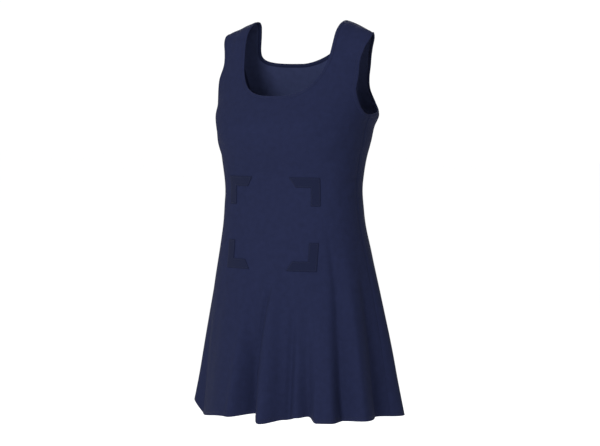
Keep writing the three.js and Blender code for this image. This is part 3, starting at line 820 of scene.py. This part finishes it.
neck_row = joined([
    edge_row(neck_line, FRONT, 1, NECK_RUN),
    turned_back(edge_row(neck_line, BACK, 1, NECK_RUN)),
    edge_row(neck_line, BACK, -1, NECK_RUN),
    turned_back(edge_row(neck_line, FRONT, -1, NECK_RUN)),
])
stitch_pieces = {"neck": stitches("neck_binding_stitching", [neck_row])}
for name, mirror in (("left", 1), ("right", -1)):
    row = joined([
        edge_row(armhole_line, FRONT, mirror, ARMHOLE_RUN),
        turned_back(edge_row(armhole_line, BACK, mirror, ARMHOLE_RUN)),
    ])
    stitch_pieces[name] = stitches(f"armhole_stitching_{name}", [row])
for name, side in (("front", FRONT), ("back", BACK)):
    turns = np.linspace(-89.6, 89.6, 300)
    rows = []
    for up in HEM_ROWS_UP:
        level = np.full_like(turns, np.interp(up, PANEL_LENGTH, ROW_LEVELS))
        rows.append(surface_row(np.stack([level, turns], -1), side, 0.0))
    stitch_pieces[side] = stitches(f"hem_stitching_{name}", rows)

# The tapes. Eight L-shaped corners of woven loop tape, dyed to match and boxed down with
# stitching, hold a position patch on the front and another on the back.
TAPE_WIDTH = 20
TAPE_THICKNESS = 1.5
PATCH_WIDTH = 222
PATCH_HEIGHT = 190
PATCH_MIDDLE = 416
TAPE_ACROSS = 66
TAPE_DOWN = 58
TAPE_SLANT = 13
TAPE_CELL = 2.5
TAPE_EDGE = 0.7
TAPE_ROUND = 0.5
TAPE_LIFT = 0.15
TAPE_ROW = 2.2

# Nylon loop tape: a mat of fine curled loops that swallows light, so it reads darker than the knit
PILE_SPACING = 1.6
loop_tape = new_material("nylon_loop_tape")
tree = loop_tape.node_tree
place = add_node(tree, "ShaderNodeTexCoord")
pile = add_node(tree, "ShaderNodeTexNoise", {"Scale": 1000 / PILE_SPACING, "Detail": 3.0},
                {"Vector": place.outputs["Object"]})
bump = add_node(tree, "ShaderNodeBump", {"Strength": 0.8, "Distance": 0.0006},
                {"Height": pile.outputs["Fac"]})
shader = add_node(tree, "ShaderNodeBsdfPrincipled", {
    "Base Color": hex_color("#0c1023"), "Roughness": 0.95, "IOR": 1.53, "Specular IOR Level": 0.06,
    "Sheen Weight": 0.01, "Sheen Roughness": 0.6,
}, {"Normal": bump.outputs["Normal"]})
add_node(tree, "ShaderNodeOutputMaterial", links={"Surface": shader.outputs[0]})


def place_across(distance, level, side):
    """The place a distance over the cloth from the centre line, at each level."""
    turns = np.linspace(0, 70, 141)
    levels, row = np.unique(level, return_inverse=True)
    facing = np.sign(distance[0])
    points = cloth_surface(levels[:, None], turns[None, :] * facing, side)
    along = np.cumsum(np.linalg.norm(np.diff(points, axis=1), axis=2), axis=1)
    along = np.concatenate([np.zeros((len(levels), 1)), along], axis=1)
    found = [np.interp(abs(far), along[k], turns) for far, k in zip(distance, row)]
    return np.stack([level, facing * np.array(found)], -1)


def corner_places(run, drop, side, outward, upward):
    """Places on a corner of tape, run in from its outer side and drop in from its end."""
    slant = np.maximum(0, run - TAPE_WIDTH) / (TAPE_ACROSS - TAPE_WIDTH) * drop / TAPE_WIDTH
    slant = np.where(drop > TAPE_WIDTH + 0.01, 0, slant)
    x = outward * (PATCH_WIDTH / 2 - run + slant * TAPE_SLANT)
    return place_across(x, level_of(PATCH_MIDDLE - upward * (PATCH_HEIGHT / 2 - drop)), side)


def stations(length):
    """Marks along an arm, close at its edges and ends."""
    across = np.linspace(TAPE_EDGE, TAPE_WIDTH - TAPE_EDGE, round(TAPE_WIDTH / TAPE_CELL))
    far = np.linspace(TAPE_WIDTH, length - TAPE_EDGE, round((length - TAPE_WIDTH) / TAPE_CELL))
    return np.concatenate([[0], across, far, [length]])


def tape_corner(name, side, outward, upward):
    across, down = stations(TAPE_ACROSS), stations(TAPE_DOWN)
    run, drop = np.meshgrid(across, down)
    kept = (run <= TAPE_WIDTH) | (drop <= TAPE_WIDTH)
    names = np.full(run.shape, -1)
    names[kept] = np.arange(kept.sum())
    quads = quads_of(names)
    quads = quads[(quads >= 0).all(1)]
    run, drop = run[kept], drop[kept]
    places = corner_places(run, drop, side, outward, upward)
    inner_corner = (run >= TAPE_WIDTH) & (drop >= TAPE_WIDTH)
    below = drop > TAPE_WIDTH
    beside = ~below & (run > TAPE_WIDTH)
    to_edge = np.where(below, np.minimum(run, TAPE_WIDTH - run), np.minimum(drop, TAPE_ACROSS - run))
    to_edge = np.minimum(to_edge, np.where(below, TAPE_DOWN - drop, run))
    to_edge = np.where(beside, np.minimum(to_edge, TAPE_WIDTH - drop), to_edge)
    edge = (to_edge < TAPE_EDGE / 2) | inner_corner
    top = cloth_point(places, side, np.where(edge, TAPE_THICKNESS - TAPE_ROUND, TAPE_THICKNESS))
    low = cloth_point(places, side, np.full(len(places), TAPE_LIFT))
    points, faces = closed_sheet(top, low, quads)
    flat = np.stack([run, drop], -1)
    made = add_piece(name, points, faces, np.concatenate([flat, flat]), loop_tape, 50)
    ends = [
        (TAPE_ROW, TAPE_ROW),
        (TAPE_ACROSS - TAPE_ROW, TAPE_ROW),
        (TAPE_ACROSS - TAPE_ROW, TAPE_WIDTH - TAPE_ROW),
        (TAPE_WIDTH - TAPE_ROW, TAPE_WIDTH - TAPE_ROW),
        (TAPE_WIDTH - TAPE_ROW, TAPE_DOWN - TAPE_ROW),
        (TAPE_ROW, TAPE_DOWN - TAPE_ROW),
        (TAPE_ROW, TAPE_ROW),
    ]
    rows = []
    for start, end in zip(ends[:-1], ends[1:]):
        marks = np.linspace(0, 1, 12)[:, None]
        line = np.array(start) * (1 - marks) + np.array(end) * marks
        found = corner_places(line[:, 0], line[:, 1], side, outward, upward)
        rows.append(surface_row(found, side, TAPE_THICKNESS))
    return made, rows


tapes = {FRONT: [], BACK: []}
for side_name, side in (("front", FRONT), ("back", BACK)):
    tape_rows = []
    for row_name, upward in (("upper", 1), ("lower", -1)):
        for end_name, outward in (("left", 1), ("right", -1)):
            piece_name = f"{side_name}_{row_name}_{end_name}"
            tape, rows = tape_corner(f"loop_tape_{piece_name}", side, outward, upward)
            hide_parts(f"tape_{piece_name}")
            tapes[side].append(tape)
            tape_rows += rows
    tapes[side].append(stitches(f"tape_stitching_{side_name}", tape_rows))
